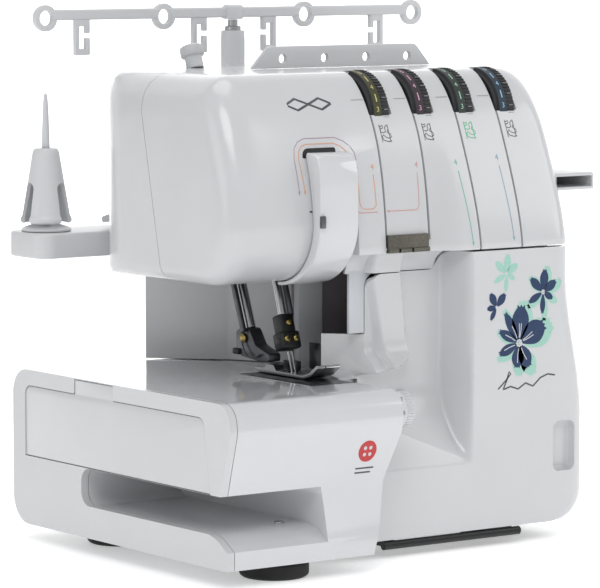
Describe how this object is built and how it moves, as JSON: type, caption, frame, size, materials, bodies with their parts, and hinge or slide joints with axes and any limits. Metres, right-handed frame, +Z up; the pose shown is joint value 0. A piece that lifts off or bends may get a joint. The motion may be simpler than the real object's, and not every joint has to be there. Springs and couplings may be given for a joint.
{
  "type": "serger overlock machine",
  "caption": "Household serger with a free-arm bed, lay-in tension dials, hinged looper cover and a telescopic thread tree over a spool stand.",
  "frame": {"origin": "centre of the machine's outline on the table, at the bottom of its feet", "axes": "+X to the sewer's right, towards the handwheel; -Y towards the sewer; +Z up"},
  "size_m": [0.345, 0.2817, 0.3375],
  "materials": {
    "white_shell": "glossy moulded white ABS",
    "spool_plastic": "satin moulded white plastic",
    "dial_plastic": "matt charcoal plastic with ribs and printed figures",
    "black_plastic": "satin black plastic",
    "rubber": "matt black rubber",
    "bright_steel": "polished and nickel-plated steel",
    "dark_steel": "ground dark steel",
    "cast_metal": "die-cast and pressed metal, unpainted"
  },
  "bodies": {
    "machine": {"accessory_pocket": "white_shell", "base_plate": "cast_metal", "bed_cover": "white_shell", "bed_end_cap": "white_shell", "drive_belt": "rubber", "foot_front_left": "rubber", "foot_front_right": "rubber", "foot_rear_left": "rubber", "foot_rear_right": "rubber", "frame_casting": "cast_metal", "front_cover": "white_shell", "lower_knife": "bright_steel", "mast_tower": "white_shell", "motor": "dark_steel", "needle_plate": "dark_steel", "needle_thread_guide": "bright_steel", "power_inlet": "black_plastic", "rear_cover": "white_shell", "right_cover": "white_shell", "spool_pin_1": "spool_plastic", "spool_pin_2": "spool_plastic", "spool_pin_3": "spool_plastic", "spool_pin_4": "spool_plastic", "spool_stand": "white_shell", "takeup_cover": "white_shell", "thread_guide_plate": "white_shell"},
    "hinge_rail": {"looper_hinge_rail": "black_plastic"},
    "looper_door": {"looper_cover": "white_shell"},
    "end_panel": {"bed_end_panel": "white_shell"},
    "needle_assembly": {"needle_bar": "bright_steel", "needle_clamp": "black_plastic", "needle_left": "bright_steel", "needle_right": "bright_steel"},
    "presser_assembly": {"presser_bar": "bright_steel", "presser_ankle": "bright_steel"},
    "foot": {"presser_foot": "bright_steel"},
    "lifter": {"presser_lifter": "white_shell"},
    "pressure_screw": {"pressure_knob": "white_shell"},
    "upper_looper_arm": {"upper_looper": "bright_steel"},
    "lower_looper_arm": {"lower_looper": "bright_steel"},
    "feed": {"feed_dog": "bright_steel"},
    "knife": {"upper_knife": "dark_steel"},
    "width_dial": {"stitch_width_dial": "white_shell"},
    "length_dial": {"stitch_length_dial": "white_shell"},
    "feed_dial": {"differential_dial": "white_shell"},
    "drive": {"main_shaft": "bright_steel", "handwheel": "white_shell"},
    "small_pulley": {"motor_pulley": "black_plastic"},
    "rocker": {"power_switch": "black_plastic"},
    "mast_middle": {"mast_lower_tube": "bright_steel"},
    "mast_top": {"mast_upper_rod": "bright_steel", "thread_tree": "spool_plastic"},
    "dial_1": {"tension_dial_1": "dial_plastic"},
    "cone_1": {"spool_cone_1": "spool_plastic"},
    "dial_2": {"tension_dial_2": "dial_plastic"},
    "cone_2": {"spool_cone_2": "spool_plastic"},
    "dial_3": {"tension_dial_3": "dial_plastic"},
    "cone_3": {"spool_cone_3": "spool_plastic"},
    "dial_4": {"tension_dial_4": "dial_plastic"},
    "cone_4": {"spool_cone_4": "spool_plastic"}
  },
  "joints": [
    {"name": "looper_cover_slide", "type": "slide", "parent": "machine", "child": "hinge_rail", "axis": [1, 0, 0], "range_m": [0, 0.008], "stiffness_N_per_m": 150},
    {"name": "looper_cover_open", "type": "hinge", "parent": "hinge_rail", "child": "looper_door", "pos_m": [0, -0.09925, 0.0076], "axis": [1, 0, 0], "range_deg": [0, 80]},
    {"name": "end_panel_pull", "type": "slide", "parent": "machine", "child": "end_panel", "axis": [-1, 0, 0], "range_m": [0, 0.02]},
    {"name": "needle_bar_stroke", "type": "slide", "parent": "machine", "child": "needle_assembly", "axis": [0, 0.3057, 0.9521], "range_m": [0, 0.025]},
    {"name": "presser_lift", "type": "hinge", "parent": "machine", "child": "lifter", "pos_m": [-0.0915, 0.07155, 0.21], "axis": [1, 0, 0], "range_deg": [0, 25]},
    {"name": "presser_bar_lift", "type": "slide", "parent": "machine", "child": "presser_assembly", "axis": [0, 0.3551, 0.9348], "range_m": [0, 0.006]},
    {"name": "presser_foot_tilt", "type": "hinge", "parent": "presser_assembly", "child": "foot", "pos_m": [-0.0575, -0.02945, 0.1144], "axis": [1, 0, 0], "range_deg": [-3, 1]},
    {"name": "pressure_screw_turn", "type": "hinge", "parent": "machine", "child": "pressure_screw", "pos_m": [-0.06, 0.06035, 0.297], "axis": [0, 0.3551, 0.9348], "range_deg": [-360, 360]},
    {"name": "upper_looper_swing", "type": "hinge", "parent": "machine", "child": "upper_looper_arm", "pos_m": [-0.0355, -0.05895, 0.07], "axis": [0, 1, 0], "range_deg": [-6, 6]},
    {"name": "lower_looper_swing", "type": "hinge", "parent": "machine", "child": "lower_looper_arm", "pos_m": [-0.0845, -0.04695, 0.07], "axis": [0, 1, 0], "range_deg": [-10, 10]},
    {"name": "feed_dog_stroke", "type": "slide", "parent": "machine", "child": "feed", "axis": [0, 1, 0], "range_m": [0, 0.004]},
    {"name": "upper_knife_stroke", "type": "slide", "parent": "machine", "child": "knife", "axis": [0, 0, 1], "range_m": [0, 0.008]},
    {"name": "tension_dial_1_turn", "type": "hinge", "parent": "machine", "child": "dial_1", "pos_m": [-0.01945, -0.04545, 0.27], "axis": [1, 0, 0], "range_deg": [-135, 135]},
    {"name": "tension_dial_2_turn", "type": "hinge", "parent": "machine", "child": "dial_2", "pos_m": [0.01355, -0.04545, 0.27], "axis": [1, 0, 0], "range_deg": [-135, 135]},
    {"name": "tension_dial_3_turn", "type": "hinge", "parent": "machine", "child": "dial_3", "pos_m": [0.04655, -0.04545, 0.27], "axis": [1, 0, 0], "range_deg": [-135, 135]},
    {"name": "tension_dial_4_turn", "type": "hinge", "parent": "machine", "child": "dial_4", "pos_m": [0.07955, -0.04545, 0.27], "axis": [1, 0, 0], "range_deg": [-135, 135]},
    {"name": "stitch_width_turn", "type": "hinge", "parent": "machine", "child": "width_dial", "pos_m": [-0.045, -0.12495, 0.0959], "axis": [1, 0, 0], "range_deg": [-60, 60]},
    {"name": "stitch_length_turn", "type": "hinge", "parent": "machine", "child": "length_dial", "pos_m": [0.1315, -0.04645, 0.118], "axis": [1, 0, 0], "range_deg": [-135, 135]},
    {"name": "differential_feed_turn", "type": "hinge", "parent": "machine", "child": "feed_dial", "pos_m": [0.1315, -0.01045, 0.118], "axis": [1, 0, 0], "range_deg": [-135, 135]},
    {"name": "main_shaft_spin", "type": "hinge", "parent": "machine", "child": "drive", "pos_m": [-0.0725, 0.01155, 0.052], "axis": [1, 0, 0], "continuous": true},
    {"name": "motor_pulley_spin", "type": "hinge", "parent": "machine", "child": "small_pulley", "pos_m": [0.0918, 0.05355, 0.066], "axis": [1, 0, 0], "continuous": true},
    {"name": "power_switch_rock", "type": "hinge", "parent": "machine", "child": "rocker", "pos_m": [0.1295, 0.06655, 0.07], "axis": [0, 1, 0], "range_deg": [0, 6]},
    {"name": "cone_1_lift", "type": "slide", "parent": "machine", "child": "cone_1", "axis": [0, 0, 1], "range_m": [0, 0.05]},
    {"name": "cone_2_lift", "type": "slide", "parent": "machine", "child": "cone_2", "axis": [0, 0, 1], "range_m": [0, 0.05]},
    {"name": "cone_3_lift", "type": "slide", "parent": "machine", "child": "cone_3", "axis": [0, 0, 1], "range_m": [0, 0.05]},
    {"name": "cone_4_lift", "type": "slide", "parent": "machine", "child": "cone_4", "axis": [0, 0, 1], "range_m": [0, 0.05]},
    {"name": "mast_middle_raise", "type": "slide", "parent": "machine", "child": "mast_middle", "axis": [0, 0, 1], "range_m": [0, 0.11]},
    {"name": "mast_top_raise", "type": "slide", "parent": "mast_middle", "child": "mast_top", "axis": [0, 0, 1], "range_m": [0, 0.11]}
  ],
  "couplings": [
    {"joint": "motor_pulley_spin", "follows": "main_shaft_spin", "ratio": 2.5},
    {"joint": "presser_lift", "follows": "presser_bar_lift", "rad_per_m": 72.7}
  ]
}
